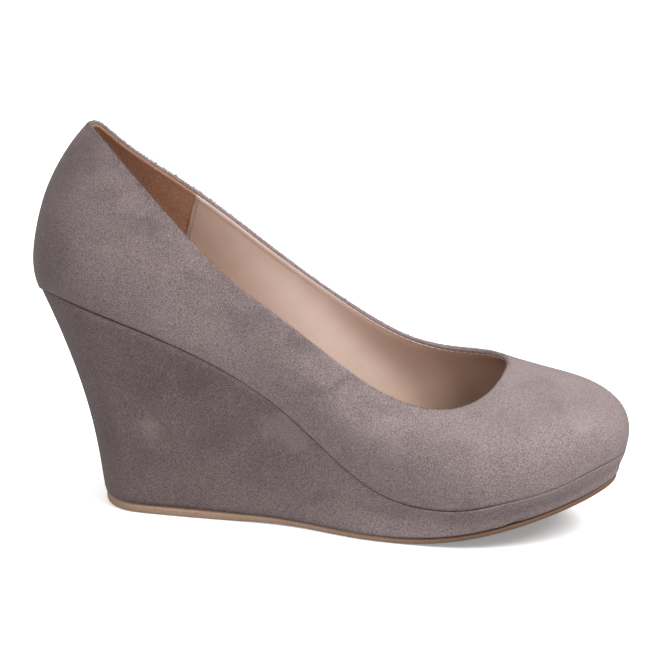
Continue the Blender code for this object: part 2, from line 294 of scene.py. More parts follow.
def make_mark_group():
    """The mark's strength in its middle, 0 outside it."""
    group, entry, leave = new_group(
        "brush_mark",
        [("Centre", "NodeSocketVector", (0, 0, 0)), ("Size", "NodeSocketVector", (0.01, 0.01, 0.01)),
         ("Strength", "NodeSocketFloat", 1.0)],
        [("Mask", "NodeSocketFloat")],
    )
    place = add_node(group, "ShaderNodeTexCoord").outputs["Object"]
    stir = add_node(group, "ShaderNodeTexNoise", {"Scale": 75.0, "Detail": 3.0})
    centred = add_node(group, "ShaderNodeVectorMath", {1: (0.5, 0.5, 0.5)}, operation="SUBTRACT")
    reach = add_node(group, "ShaderNodeVectorMath", {1: (STIR, STIR, STIR)}, operation="MULTIPLY")
    moved = add_node(group, "ShaderNodeVectorMath", operation="ADD")
    away = add_node(group, "ShaderNodeVectorMath", operation="SUBTRACT")
    shares = add_node(group, "ShaderNodeVectorMath", operation="DIVIDE")
    length = add_node(group, "ShaderNodeVectorMath", operation="LENGTH")
    fade = add_node(
        group, "ShaderNodeMapRange", {"From Min": 1.0, "From Max": 0.15}, interpolation_type="SMOOTHSTEP"
    )
    scaled = add_node(group, "ShaderNodeMath", operation="MULTIPLY")
    wire(
        group,
        (place, stir.inputs["Vector"]),
        (stir.outputs["Color"], centred.inputs[0]),
        (centred.outputs[0], reach.inputs[0]),
        (reach.outputs[0], moved.inputs[0]),
        (place, moved.inputs[1]),
        (moved.outputs[0], away.inputs[0]),
        (entry.outputs["Centre"], away.inputs[1]),
        (away.outputs[0], shares.inputs[0]),
        (entry.outputs["Size"], shares.inputs[1]),
        (shares.outputs[0], length.inputs[0]),
        (length.outputs["Value"], fade.inputs["Value"]),
        (fade.outputs["Result"], scaled.inputs[0]),
        (entry.outputs["Strength"], scaled.inputs[1]),
        (scaled.outputs[0], leave.inputs["Mask"]),
    )
    return group


mark_group = make_mark_group()
print("mark group nodes:", len(mark_group.nodes))

# %% [markdown]
# Most marks follow the shoe's life: hands pull at the heel and at the topline, long dark streaks run
# beside the opening, and fingers press the wedge. Two are painted: a light patch at the toe is partly
# brushed nap and partly painted light where the key falls brightest, and a dark patch at the ball is
# painted shade on a place that two lamps light. Most marks are on the outer side, which is the one
# that shows, and a few large ones keep the inner side alive.

# %% Brush marks and patches of painted light and shade, listed one by one
BRUSH_AND_PAINTED_LIGHT_MARKS = [    # centre x, y, z; size x, y, z in millimetres; strength, below 0 is lighter
    (-95, -14, 136, 12, 18, 16, 0.34),
    (-84, -20, 122, 12, 14, 9, 0.22),
    (-70, -22, 113, 22, 14, 9, 0.22),
    (-103, -20, 100, 12, 16, 18, 0.26),
    (-60, -25, 92, 34, 14, 22, 0.12),
    (-27, -27, 82, 20, 14, 9, 0.20),
    (-2, -28, 71, 14, 14, 8, 0.34),
    (12, -30, 59, 14, 14, 7, 0.30),
    (28, -32, 50, 14, 12, 6, 0.22),
    (-66, -23, 112, 9, 12, 6, 0.20),
    (-56, -24, 106, 9, 12, 6, 0.20),
    (-46, -25, 99, 9, 12, 6, 0.16),
    (-42, -26, 108, 14, 12, 9, -0.20),
    (22, -34, 46, 20, 12, 9, -0.12),
    # Painted shade at the ball, a place that both the key and the near fill light.
    (52, -36, 38, 28, 14, 12, 0.18),
    (-66, -25, 50, 12, 14, 14, 0.22),
    (-44, -25, 52, 12, 14, 12, 0.22),
    (-40, -25, 30, 13, 14, 12, 0.26),
    (-68, -26, 20, 16, 14, 10, 0.20),
    (-84, -24, 34, 12, 14, 14, 0.18),
    (-20, -26, 18, 16, 14, 10, 0.22),
    (4, -27, 14, 18, 14, 8, 0.24),
    (-62, -25, 36, 10, 14, 10, -0.20),
    (-10, -26, 38, 12, 12, 9, -0.22),
    (30, -36, 12, 22, 12, 6, 0.20),
    (62, -36, 14, 14, 12, 6, 0.14),
    (78, -30, 50, 12, 12, 7, 0.16),
    (84, 0, 56, 12, 10, 8, 0.20),
    (92, -12, 54, 12, 10, 8, 0.18),
    # Partly brushed nap and partly painted light, at the toe where the key light falls.
    (100, -16, 44, 12, 14, 9, -0.25),
    (60, -20, 52, 14, 10, 8, 0.14),
    (70, -34, 36, 14, 10, 7, 0.14),
    (60, 34, 40, 26, 16, 14, 0.22),
    (-20, 26, 70, 26, 14, 14, 0.22),
    (-74, 24, 104, 22, 14, 16, 0.22),
    (-60, 24, 40, 24, 16, 20, 0.24),
    (20, 30, 22, 26, 14, 10, 0.20),
    (-108, 0, 60, 14, 18, 18, 0.18),
]
HEEL_MARKS = BRUSH_AND_PAINTED_LIGHT_MARKS[:3]    # those that reach the heel lining
# Pressed nap and painted shade both go to this share of the dark colour; lifted nap and painted light to this
# much of the light one.
PRESSED_AND_SHADED_SHARE = 0.45    # a pressed nap has this share of the dark colour
LIFTED_AND_LIT_GAIN = 1.25    # a lifted nap has this much of the light one
print("marks placed by hand:", len(BRUSH_AND_PAINTED_LIGHT_MARKS))

# %% [markdown]
# Two things change a finish from place to place: the marks, and a slow tint along the shoe. That
# tint is painted shade and light: the upper and the wedge are darker towards the heel, which faces
# away from the key light, the inside is paler at the heel and dim towards the toe, and the sole's edge
# is darker at the toe. Both take a colour and give a colour back, so a material can string them
# together. Positive marks go through one Mix node and negative ones through another, because a Mix
# node reads a factor below 0 as 0.

# %% Marks and shade on a colour
def add_nap_and_painted_light_marks(tree, colour, light, dark, marks):
    """The colour with the marks on it, brush marks and patches of painted light and shade: darker where one
    is positive, lighter where it is negative.
    """
    masks = []
    for *mark_place, strength in marks:
        metres = [size / 1000 for size in mark_place]
        mark = add_node(tree, "ShaderNodeGroup", node_tree=mark_group)
        mark.inputs["Centre"].default_value = metres[:3]
        mark.inputs["Size"].default_value = metres[3:]
        mark.inputs["Strength"].default_value = strength
        masks.append(mark.outputs["Mask"])
    marked = sum_of(tree, masks)
    lifted = add_node(tree, "ShaderNodeMath", {1: -1.0}, operation="MULTIPLY")
    darker = mix_colours(tree, {MIX_B: (*[PRESSED_AND_SHADED_SHARE * part for part in dark[:3]], 1)})
    lighter = mix_colours(tree, {MIX_B: (*[LIFTED_AND_LIT_GAIN * part for part in light[:3]], 1)})
    wire(
        tree,
        (marked, lifted.inputs[0]),
        (marked, darker.inputs["Factor"]),
        (colour, darker.inputs[MIX_A]),
        (lifted.outputs[0], lighter.inputs["Factor"]),
        (darker.outputs[MIX_RESULT], lighter.inputs[MIX_A]),
    )
    return lighter.outputs[MIX_RESULT]


def shade_along(tree, colour, start, end, first, last):
    """The colour, multiplied along the shoe: by the first tint up to start, by the last one from end."""
    place = add_node(tree, "ShaderNodeTexCoord")
    along = add_node(tree, "ShaderNodeSeparateXYZ")
    share = add_node(
        tree, "ShaderNodeMapRange", {"From Min": start, "From Max": end}, interpolation_type="SMOOTHSTEP"
    )
    tint = mix_colours(tree, {MIX_A: (*first, 1), MIX_B: (*last, 1)})
    result = mix_colours(tree, {"Factor": 1.0}, "MULTIPLY")
    wire(
        tree,
        (place.outputs["Object"], along.inputs[0]),
        (along.outputs["X"], share.inputs["Value"]),
        (share.outputs["Result"], tint.inputs["Factor"]),
        (colour, result.inputs[MIX_A]),
        (tint.outputs[MIX_RESULT], result.inputs[MIX_B]),
    )
    return result.outputs[MIX_RESULT]


# %% [markdown]
# The suede itself is a Principled BSDF with no gloss to speak of. Its soft pale edge, where fibres
# catch the light, is the Sheen. The wedge has the same hide painted a little darker, and darker still
# towards the heel: painted shade, where it faces down and away from the key light. The heel lining is
# a tan suede, and the loose fibres on the edge are darker still.

# %% Suede material
SUEDE_SHADER = {
    "Roughness": 0.95, "Specular IOR Level": 0.15, "Sheen Weight": 0.22, "Sheen Roughness": 0.45,
    "Sheen Tint": (0.90, 0.84, 0.83, 1.0),
}
SUEDE_NAP = {"Grain Size": 0.00031, "Grain": 5.0, "Mottle": 0.18, "Clouds": 0.50, "Balance": 0.5}


def make_suede(name, light, dark, marks=(), shade=None):
    """Brushed suede: nap colour, painted shade along the shoe, brush marks with patches of painted light and
    shade, a fine bump and a soft sheen.
    """
    material, tree, shader = new_material(name, SUEDE_SHADER)
    nap = add_node(tree, "ShaderNodeGroup", {"Light": light, "Dark": dark} | SUEDE_NAP, node_tree=nap_group)
    colour = nap.outputs["Colour"]
    if shade:
        colour = shade_along(tree, colour, *shade)
    if marks:
        colour = add_nap_and_painted_light_marks(tree, colour, light, dark, marks)
    bump = add_node(tree, "ShaderNodeBump", {"Strength": 0.8, "Distance": 0.00035})
    wire(
        tree,
        (nap.outputs["Height"], bump.inputs["Height"]),
        (colour, shader.inputs["Base Color"]),
        (bump.outputs["Normal"], shader.inputs["Normal"]),
    )
    return material


# Painted shade: the upper grows darker towards the heel, which faces away from the key light.
suede = make_suede(
    "taupe_suede", (0.405, 0.325, 0.322, 1), (0.205, 0.155, 0.157, 1), BRUSH_AND_PAINTED_LIGHT_MARKS,
    (-0.105, -0.040, (0.73, 0.71, 0.72), (1.0, 1.0, 1.0)),
)
# Painted shade: the wedge is a little darker than the upper and darker still towards the heel, where it faces
# down and away from the key light, with a touch of painted light at the front.
wedge_suede_painted_shade = make_suede(
    "taupe_wedge_painted_shade", (0.395, 0.313, 0.310, 1), (0.190, 0.142, 0.144, 1), BRUSH_AND_PAINTED_LIGHT_MARKS,
    (-0.05, 0.060, (0.63, 0.60, 0.60), (1.04, 1.04, 1.04)),
)
heel_suede = make_suede("tan_heel_suede", (0.560, 0.330, 0.215, 1), (0.370, 0.195, 0.115, 1), HEEL_MARKS)
fibre_suede = make_suede("taupe_fibre_suede", (0.300, 0.225, 0.210, 1), (0.150, 0.105, 0.100, 1))
print("suede nodes:", len(suede.node_tree.nodes))

# %% [markdown]
# The lining is thin, smooth coated leather in a pinkish beige. It has a very fine grain that only
# shows in the gloss, so cells bend the surface a little and a soft noise varies the colour and the
# roughness. The thread and the shade in a needle hole use the same group, with finer grain.

# %% Leather group
def make_leather_group():
    """Colour, roughness and height of a fine leather."""
    group, entry, leave = new_group(
        "fine_leather",
        [("Colour", "NodeSocketColor", (0.6, 0.4, 0.3, 1)), ("Grain Size", "NodeSocketFloat", 0.0006)],
        [("Colour", "NodeSocketColor"), ("Roughness", "NodeSocketFloat"), ("Height", "NodeSocketFloat")],
    )
    place = add_node(group, "ShaderNodeTexCoord").outputs["Object"]
    scale = add_node(group, "ShaderNodeMath", {0: 1.0}, operation="DIVIDE")
    cells = add_node(group, "ShaderNodeTexVoronoi", feature="SMOOTH_F1")
    soft = add_node(group, "ShaderNodeTexNoise", {"Scale": 90.0, "Detail": 3.0})
    shade = add_node(group, "ShaderNodeMapRange", {"To Min": 0.86, "To Max": 1.08})
    tint = mix_colours(group, {"Factor": 1.0}, "MULTIPLY")
    rough = add_node(group, "ShaderNodeMapRange", {"To Min": 0.40, "To Max": 0.56})
    wire(
        group,
        (entry.outputs["Grain Size"], scale.inputs[1]),
        (scale.outputs[0], cells.inputs["Scale"]),
        (place, cells.inputs["Vector"]),
        (place, soft.inputs["Vector"]),
        (soft.outputs["Fac"], shade.inputs["Value"]),
        (soft.outputs["Fac"], rough.inputs["Value"]),
        (entry.outputs["Colour"], tint.inputs[MIX_A]),
        (shade.outputs["Result"], tint.inputs[MIX_B]),
        (tint.outputs[MIX_RESULT], leave.inputs["Colour"]),
        (rough.outputs["Result"], leave.inputs["Roughness"]),
        (cells.outputs["Distance"], leave.inputs["Height"]),
    )
    return group


leather_group = make_leather_group()
print("leather group nodes:", len(leather_group.nodes))

# %% [markdown]
# Inside the shoe the light falls off towards the toe. A tint along the shoe paints that shade, and a
# paler light towards the heel, more surely than extra lamps would. Stitches and needle holes are too
# small for a shade of their own.

# %% Lining, sock and thread
# Painted light and shade inside the shoe: paler where light gets in at the heel, darker deep in the toe.
INSIDE_PAINTED_SHADE = (-0.03, 0.06, (1.06, 1.06, 1.06), (0.66, 0.57, 0.51))    # pale at the heel, dark in the toe


def make_leather(name, colour, grain_size, shade=None):
    """Fine leather with a colour and a grain size of its own, and a shade along the shoe."""
    material, tree, shader = new_material(name, {"Specular IOR Level": 0.35})
    leather = add_node(
        tree, "ShaderNodeGroup", {"Colour": colour, "Grain Size": grain_size}, node_tree=leather_group
    )
    bump = add_node(tree, "ShaderNodeBump", {"Strength": 0.18, "Distance": 0.0002})
    shaded = leather.outputs["Colour"]
    if shade:
        shaded = shade_along(tree, shaded, *shade)
    wire(
        tree,
        (leather.outputs["Height"], bump.inputs["Height"]),
        (shaded, shader.inputs["Base Color"]),
        (leather.outputs["Roughness"], shader.inputs["Roughness"]),
        (bump.outputs["Normal"], shader.inputs["Normal"]),
    )
    return material


lining_leather = make_leather("beige_lining", (0.620, 0.470, 0.395, 1), 0.0007, INSIDE_PAINTED_SHADE)
sock_leather = make_leather("beige_sock", (0.600, 0.445, 0.370, 1), 0.0009, INSIDE_PAINTED_SHADE)
thread = make_leather("beige_thread", (0.760, 0.620, 0.540, 1), 0.0003)
# Painted shade: a needle hole is a small dark bead where the hole's shade would be.
painted_hole_shade = make_leather("needle_hole_shade", (0.035, 0.020, 0.015, 1), 0.0003)
print("lining nodes:", len(lining_leather.node_tree.nodes))

# %% [markdown]
# The sole is a thin sheet of tan rubber. Its edge was buffed, so it is matte with fine specks, and it
# is painted darker towards the toe: painted shade, where the edge lies in shadow. Its underside has
# the shallow slanting ribs of a moulded sheet. Real ribs would cost thousands of faces, so they are
# bump, and a mask shows them only where the surface faces down.

# %% Sole rubber
FACING_DOWN = -0.97    # a normal whose Z is below this points at the floor


def make_sole_rubber():
    """Tan rubber with specks, painted shade towards the toe, and ribs where it faces down."""
    material, tree, shader = new_material("tan_sole_rubber", {"Roughness": 0.62, "Specular IOR Level": 0.30})
    place = add_node(tree, "ShaderNodeTexCoord").outputs["Object"]
    specks = add_node(tree, "ShaderNodeTexNoise", {"Scale": 1400.0, "Detail": 2.0})
    clouds = add_node(tree, "ShaderNodeTexNoise", {"Scale": 70.0, "Detail": 3.0})
    tone = add_node(tree, "ShaderNodeMix", {"Factor": 0.35}, data_type="FLOAT")
    colours = mix_colours(tree, {MIX_A: (0.270, 0.165, 0.112, 1), MIX_B: (0.640, 0.430, 0.320, 1)})
    ribs = add_node(tree, "ShaderNodeTexWave", {"Scale": 95.0, "Distortion": 0.0}, bands_direction="DIAGONAL")
    facing = add_node(tree, "ShaderNodeNewGeometry")
    split = add_node(tree, "ShaderNodeSeparateXYZ")
    down = add_node(tree, "ShaderNodeMath", {1: FACING_DOWN}, operation="LESS_THAN")
    relief = add_node(tree, "ShaderNodeMath", operation="MULTIPLY")
    height = add_node(tree, "ShaderNodeMath", {1: 0.12}, operation="MULTIPLY_ADD")
    bump = add_node(tree, "ShaderNodeBump", {"Strength": 0.8, "Distance": 0.0005})
    # Painted shade: darker towards the toe, where the sole's edge lies in shadow.
    colour = shade_along(
        tree, colours.outputs[MIX_RESULT], 0.0, 0.08, (1.0, 1.0, 1.0), (0.48, 0.41, 0.36)
    )
    wire(
        tree,
        (place, specks.inputs["Vector"]),
        (place, clouds.inputs["Vector"]),
        (place, ribs.inputs["Vector"]),
        (specks.outputs["Fac"], tone.inputs["A"]),
        (clouds.outputs["Fac"], tone.inputs["B"]),
        (tone.outputs["Result"], colours.inputs["Factor"]),
        (facing.outputs["Normal"], split.inputs[0]),
        (split.outputs["Z"], down.inputs[0]),
        (ribs.outputs["Fac"], relief.inputs[0]),
        (down.outputs[0], relief.inputs[1]),
        (specks.outputs["Fac"], height.inputs[0]),
        (relief.outputs[0], height.inputs[2]),
        (height.outputs[0], bump.inputs["Height"]),
        (colour, shader.inputs["Base Color"]),
        (bump.outputs["Normal"], shader.inputs["Normal"]),
    )
    return material


sole_rubber = make_sole_rubber()
print("sole rubber nodes:", len(sole_rubber.node_tree.nodes))

# %% [markdown]
# Now the skins. The upper solid is one closed wall, a net of four-sided faces with rows that run
# round the shoe. Its lower edge has the only sharp corners, so the rows can be found from there: up
# the outside, over the rounded topline and down the inside. Then any skin is a choice of rows.

# %% Find the rows of the upper's wall
RIM_INNER = 16    # the row where the inside begins, below the rounded topline


def neighbours(vert):
    """The vertices at the other end of a vertex's edges."""
    return [edge.other_vert(vert) for edge in vert.link_edges]


def wall_rows(shape):
    """The upper's vertices in rows: 13 up the outside, 3 over the topline, 13 down the inside."""
    sharp = set(corner_edges(shape))
    corners = {vert for edge in sharp for vert in edge.verts}
    row = [min(corners, key=lambda vert: vert.co.x)]
    while True:
        ahead = [edge.other_vert(row[-1]) for edge in row[-1].link_edges if edge in sharp]
        ahead = [vert for vert in ahead if vert not in row]
        if not ahead:
            break
        row.append(min(ahead, key=lambda vert: vert.co.y))
    rows, seen = [row], set(corners)
    while True:
        ahead = [[near for near in neighbours(vert) if near not in seen] for vert in rows[-1]]
        if not ahead[0]:
            break
        rows.append([found[0] for found in ahead])
        seen.update(rows[-1])
    rows.append([next(near for near in neighbours(vert) if near in corners) for vert in rows[-1]])
    return rows


upper_shape = merged_copy("upper")
upper_rows = wall_rows(upper_shape)
GRID = [[vert.co.copy() for vert in row] for row in upper_rows]
GRID_OUT = [[vert.normal.copy() for vert in row] for row in upper_rows]    # ways off the wall
STATIONS = len(GRID[0])
upper_shape.free()
print("rows:", len(GRID), "stations:", STATIONS)

# %% [markdown]
# The suede covers the outside, rolls over the topline and ends a little way down inside, where the
# lining is stitched on it. At the bottom it turns in under the foot. The skin keeps those rows and
# loses the rest; its last inside row slides up to the depth of the fold. Subdivision Surface rounds
# it, and a crease keeps the lower edge crisp. Solidify gives it the thickness of real suede.

# %% Suede upper
UPPER_SAG = 0.0004    # depth of the soft waves in the upper
WAVES = 45.0    # how many noise waves fit in a metre
TURN_IN = 0.0015    # the suede turns this far in under the foot
LOWER_EDGE_CREASE = 0.55


def sag_by_hand(shape, size):
    """Pulls the skin in and out a little, in waves as wide as a thumb, as leather does over a last."""
    for vert in shape.verts:
        vert.co += vert.normal * size * noise.noise(vert.co * WAVES)


def slide_row(near_row, far_row, length):
    """Slides a row along its ribs, to this length from the row before it."""
    for near, far in zip(near_row, far_row):
        far.co = near.co + (far.co - near.co).normalized() * length


def make_upper_suede():
    """The outside rows, the rim, the fold inside it and the turn under the foot."""
    shape = merged_copy("upper")
    sag_by_hand(shape, UPPER_SAG)
    rows = wall_rows(shape)
    slide_row(rows[RIM_INNER], rows[RIM_INNER + 1], FOLD_DEPTH - RIM_DROP)
    crease_edges(shape, edges_within(corner_edges(shape), rows[0]), LOWER_EDGE_CREASE)
    slide_row(rows[0], rows[-1], TURN_IN)
    keep_rows(shape, rows[:RIM_INNER + 2] + rows[-1:])
    return add_piece("upper_suede", shape, suede, levels=2, thickness=SUEDE_THICKNESS)


upper_suede = make_upper_suede()
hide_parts("upper")

# %% [markdown]
# The lining of the front is one smooth piece of leather. It is turned over a thin strip of foam, so
# that its upper edge is a soft roll just under the topline, and at the instep it ends in a slanting
# edge that laps over the heel lining. Both linings use the inside rows of the same wall. The three
# rows of the rim aren't needed here, so they make the roll: each is laid at a depth under the
# topline and a height over the wall. A plane cuts the two pieces apart at the lap.

# %% The roll under the topline
LAP_POINT = Vector((-0.0581, 0.0, 0.1163))
LAP_NORMAL = Vector((1.0, 0.0, -0.309)).normalized()   # square to the slanting edge, towards the toe
ROLL_DEPTHS = (0.0018, 0.0020, 0.0028, 0.0044)    # of the four upper rows, under the topline
ROLL_HEIGHTS = (0.0001, 0.0005, 0.0009)    # of the first three, off the wall
RAISE_RUN = 0.02    # behind the lap, the heel lining's edge rises over this length


def clamp(value, low=0.0, high=1.0):
    """The value, kept between two limits."""
    return min(high, max(low, value))


def roll_share(place):
    """The roll is full at the heel and thins out to a plain edge towards the toe."""
    return clamp((0.045 - place.x) / 0.075, low=0.35)


def past_lap(place):
    """How far a place lies in front of the lap seam."""
    return (place - LAP_POINT).dot(LAP_NORMAL)


print("lap seam leans, degrees:", round(math.degrees(math.asin(-LAP_NORMAL.z)), 1))

# %% [markdown]
# The heel lining lies closer to the wall and starts 6 mm in front of the lap, under the front
# lining, as a maker would cut it. Behind the lap its edge comes up a little nearer to the topline.

# %% Front lining and heel lining
FRONT_PROUD, HEEL_PROUD = 0.0006, 0.0002    # how far the two linings stand off the wall
HEEL_ROLL = 0.75    # the heel lining's roll, as a share of the front lining's
HEEL_RAISE = 0.0006    # how much nearer to the topline the heel lining ends
LAP_WIDTH = 0.006    # the heel lining goes this far under the front lining


def make_lining(name, material, roll, proud, raised, cut, forward):
    """The inside rows as a skin, with a rolled upper edge, kept on one side of the lap seam."""
    shape = merged_copy("upper")
    rows = wall_rows(shape)
    places = []
    for near, far in zip(rows[RIM_INNER], rows[RIM_INNER + 1]):
        way, out = (far.co - near.co).normalized(), far.normal.copy()
        lift = raised * clamp(-past_lap(near.co) / RAISE_RUN)
        heights = [height * roll * roll_share(near.co) for height in ROLL_HEIGHTS] + [proud]
        depths = [depth - lift - RIM_DROP for depth in ROLL_DEPTHS]
        places.append([near.co + way * depth + out * height for depth, height in zip(depths, heights)])
    for row in rows[RIM_INNER + 1:]:
        for vert in row:
            vert.co += vert.normal * proud
    for column, four in enumerate(places):
        for row, place in zip(rows[RIM_INNER - 3:RIM_INNER + 1], four):
            row[column].co = place
    keep_rows(shape, rows[RIM_INNER - 3:])
    bmesh.ops.bisect_plane(
        shape, geom=shape.verts[:] + shape.edges[:] + shape.faces[:], dist=WELD, plane_co=cut,
        plane_no=LAP_NORMAL, clear_inner=forward, clear_outer=not forward,
    )
    return add_piece(name, shape, material, levels=2, thickness=LINING_THICKNESS)


lining = make_lining("front_lining", lining_leather, 1.0, FRONT_PROUD, 0.0, LAP_POINT, True)
heel_lining_front = LAP_POINT + LAP_NORMAL * LAP_WIDTH
make_lining("heel_lining", heel_suede, HEEL_ROLL, HEEL_PROUD, HEEL_RAISE, heel_lining_front, False)

# %% [markdown]
# Stitches hold the lap. Each is a tiny rounded bar of thread between two needle holes, and each hole
# is a small dark bead of painted shade standing just off the lining. The row follows the lining's edge
# with even steps. The line is first laid out on the CAD rows, and then dropped on the finished skin
# with a BVH tree, which answers where the nearest surface is and which way it faces. The same tool
# lays the pale edge thread along the topline.

# %% Stitches on a skin
STANDOFF = 0.003    # a line starts this far off the wall, so that the skin's front is nearest


def even_steps(line, pitch, start):
    """Points along a line of points, one every pitch, each with the way the line runs."""
    placed, carried = [], start
    for begin, end in zip(line, line[1:]):
        run = (end - begin).length
        while carried < run:
            placed.append((begin.lerp(end, carried / run), (end - begin).normalized()))
            carried += pitch
        carried -= run
    return placed


def add_stitches(name, material, line, pitch, size, lift, start=0.5):
    """A row of small rounded bars on the lining: size is a bar's length, width and height."""
    shape = bmesh.new()
    for place, way in even_steps(line, pitch, pitch * start):
        spot, out, _, _ = lining_surface.find_nearest(place)
        side = out.cross(way).normalized()
        way = side.cross(out).normalized()
        turn = Matrix((way, side, out)).transposed().to_4x4()
        bmesh.ops.create_uvsphere(
            shape, u_segments=6, v_segments=4, radius=0.5,
            matrix=Matrix.Translation(spot + out * lift) @ turn @ Matrix.Diagonal((*size, 1)),
        )
    return add_piece(name, shape, material)


bpy.context.view_layer.update()
lining_surface = BVHTree.FromObject(lining, bpy.context.evaluated_depsgraph_get())
print("stitch lines start this far off the wall, mm:", 1000 * STANDOFF)

# %% [markdown]
# The lap's row lies 1.5 mm in front of the lining's edge, with a hole every 1.1 mm. The line is the
# cut of a slanting plane through the wall's rows: where two neighbours lie on different sides of
# the plane, the line crosses between them. Both sides of the shoe get their own row.

# %% Lap seam
LAP_SEAM_FORWARD = 0.0015
LAP_PITCH = 0.0011
LAP_STITCH = (0.00085, 0.00034, 0.00026)
LAP_HOLE_SHADE = (0.00055, 0.00060, 0.00018)
STITCH_LIFT, HOLE_SHADE_LIFT = 0.00008, 0.00004    # how far their middles stand off the lining
FIRST_STITCH_DOWN = 0.0015    # the row starts this far under the wall's first inside row


def lap_line(side, forward):
    """Points down the lap seam on one side of the shoe, this far in front of the lining's edge."""
    line = []
    for row, outs in zip(GRID[RIM_INNER:-1], GRID_OUT[RIM_INNER:-1]):
        for at, here in enumerate(row):
            ahead = row[(at + 1) % STATIONS]
            near, far = past_lap(here) - forward, past_lap(ahead) - forward
            if near * far < 0 and here.y * side > 0:
                line.append(here.lerp(ahead, near / (near - far)) + outs[at] * STANDOFF)
    top, below = line[0], line[1]
    return [top + (below - top).normalized() * FIRST_STITCH_DOWN] + line[1:]


for side, label in ((-1, "outer"), (1, "inner")):
    seam = lap_line(side, LAP_SEAM_FORWARD)
    add_stitches("lap_stitches_" + label, thread, seam, LAP_PITCH, LAP_STITCH, STITCH_LIFT)
    # Each hole is a dark bead of painted shade.
    add_stitches("lap_hole_shade_" + label, painted_hole_shade, seam, LAP_PITCH, LAP_HOLE_SHADE, HOLE_SHADE_LIFT, start=0.0)

# %% [markdown]
# Along the topline the lining is sewn to the folded suede, and from outside only a pale line of
# thread shows, broken where the needle went in. Long bars, laid nearly end to end on the edge of
# the roll, look like that and follow its curve better than a tube would.

# %% Pale edge thread under the topline
EDGE_PITCH = 0.0026
EDGE_STITCH = (0.0027, 0.00035, 0.00035)


def topline_edge():
    """The line of the lining's upper edge in front of the lap, from the outer side round the toe."""
    line = []
    for near, far, out in zip(GRID[RIM_INNER], GRID[RIM_INNER + 1], GRID_OUT[RIM_INNER + 1]):
        way = (far - near).normalized()
        line.append(near + way * (ROLL_DEPTHS[1] - RIM_DROP) + out * ROLL_HEIGHTS[1] * roll_share(near))
    ahead = [past_lap(point) > 0 for point in line]
    start = next(at for at in range(len(line)) if ahead[at] and not ahead[at - 1])
    return (line[start:] + line[:start])[:sum(ahead)]


add_stitches("topline_thread", thread, topline_edge(), EDGE_PITCH, EDGE_STITCH, 0.0)

# %% [markdown]
# The wedge is a block of cork or foam, wrapped in suede. The cover is pulled up right under the
# upper's edge: the seam is a hair-thin line that even closes at the toe. The solid has a rounded
# shoulder there, so the cover copies the solid and lifts its two top rows. The row above the sole is
# let down in the same way. The rows are found by their nearest vertices, with a KD tree, because the
# triangles of this solid don't all pair up into a regular net.

# %% Rows of the wedge
SHOULDER_DOWN = 0.0015    # the shoulder is this far under the seam
TOP_IN, TOP_DOWN = 0.0012, 0.0003    # the edge of the top is this far inside the seam and under it
HEM_BAND = (0.0006, 0.0023)  # the hem row's distance from the outsole lies between these


def nearest_verts(shape, places):
    """The vertices of a bmesh that lie nearest to the places."""
    tree = KDTree(len(shape.verts))
    verts = list(shape.verts)
    for index, vert in enumerate(verts):
        tree.insert(vert.co, index)
    tree.balance()
    return {verts[tree.find(place)[1]] for place in places}


def inside_seam(place, out):
    """Where the edge of the wedge's top lies, beside a point of the seam."""
    return place - Vector((out.x, out.y, 0)).normalized() * TOP_IN - Vector((0, 0, TOP_DOWN))


print("hem band above the sole, mm:", [1000 * edge for edge in HEM_BAND])

# %% [markdown]
# The cover itself follows. Each row gets its lift in the middle of the shoe and another at the
# toe, and the change between them is spread over a centimetre, so that the seam closes softly.

# %% Suede wedge cover
WEDGE_SAG = 0.0003
SHOULDER_LIFT, SHOULDER_TOE_LIFT = 0.0010, 0.00144
TOP_LIFT, TOP_TOE_LIFT = 0.0, 0.00024
SEAM_CLOSES_FROM, SEAM_CLOSES_OVER = 0.070, 0.012
HEM_DROP = 0.0010
UNDERSIDE_DROP = 0.0002
SHOULDER_CREASE, HEM_CREASE = 0.6, 0.3


def lift_rows(shoulder, top):
    """Lifts the shoulder and the edge of the top, a little more where the seam closes."""
    for row, lift, toe_lift in ((shoulder, SHOULDER_LIFT, SHOULDER_TOE_LIFT), (top, TOP_LIFT, TOP_TOE_LIFT)):
        for vert in row:
            at_toe = clamp((vert.co.x - SEAM_CLOSES_FROM) / SEAM_CLOSES_OVER)
            vert.co.z += lift + at_toe * (toe_lift - lift)


def make_wedge_cover():
    """The wedge's own faces, pulled up to the upper and let down to the sole."""
    shape = merged_copy("wedge")
    sag_by_hand(shape, WEDGE_SAG)
    shoulder = nearest_verts(shape, [place - Vector((0, 0, SHOULDER_DOWN)) for place in GRID[0]])
    top = nearest_verts(shape, [inside_seam(place, out) for place, out in zip(GRID[0], GRID_OUT[1])])
    sole = BVHTree.FromObject(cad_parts["outsole"], bpy.context.evaluated_depsgraph_get())
    low, high = HEM_BAND
    hem = [vert for vert in shape.verts if low < sole.find_nearest(vert.co)[3] < high]
    print("shoulder:", len(shoulder), "top:", len(top), "hem:", len(hem))
    lift_rows(shoulder, top)
    for vert in hem:
        vert.co.z -= HEM_DROP
    for vert in shape.verts:
        if sole.find_nearest(vert.co)[3] < low:    # the underside, and the hem that now lies by it
            vert.co.z -= UNDERSIDE_DROP
    crease_edges(shape, edges_within(shape.edges, shoulder), SHOULDER_CREASE)
    crease_edges(shape, edges_within(shape.edges, hem), HEM_CREASE)
    return add_piece("wedge_cover", shape, wedge_suede_painted_shade, levels=2)


wedge_cover = make_wedge_cover()
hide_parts("wedge")

# %% [markdown]
# The outsole is a thin sheet cut to the outline. The sock is the soft leather the foot stands on.
# Both are merged copies of their solids with finer faces, and creased corners keep their outline,
# which a rounder edge would shrink.

# %% Outsole and sock
SLAB_CREASE = 0.7


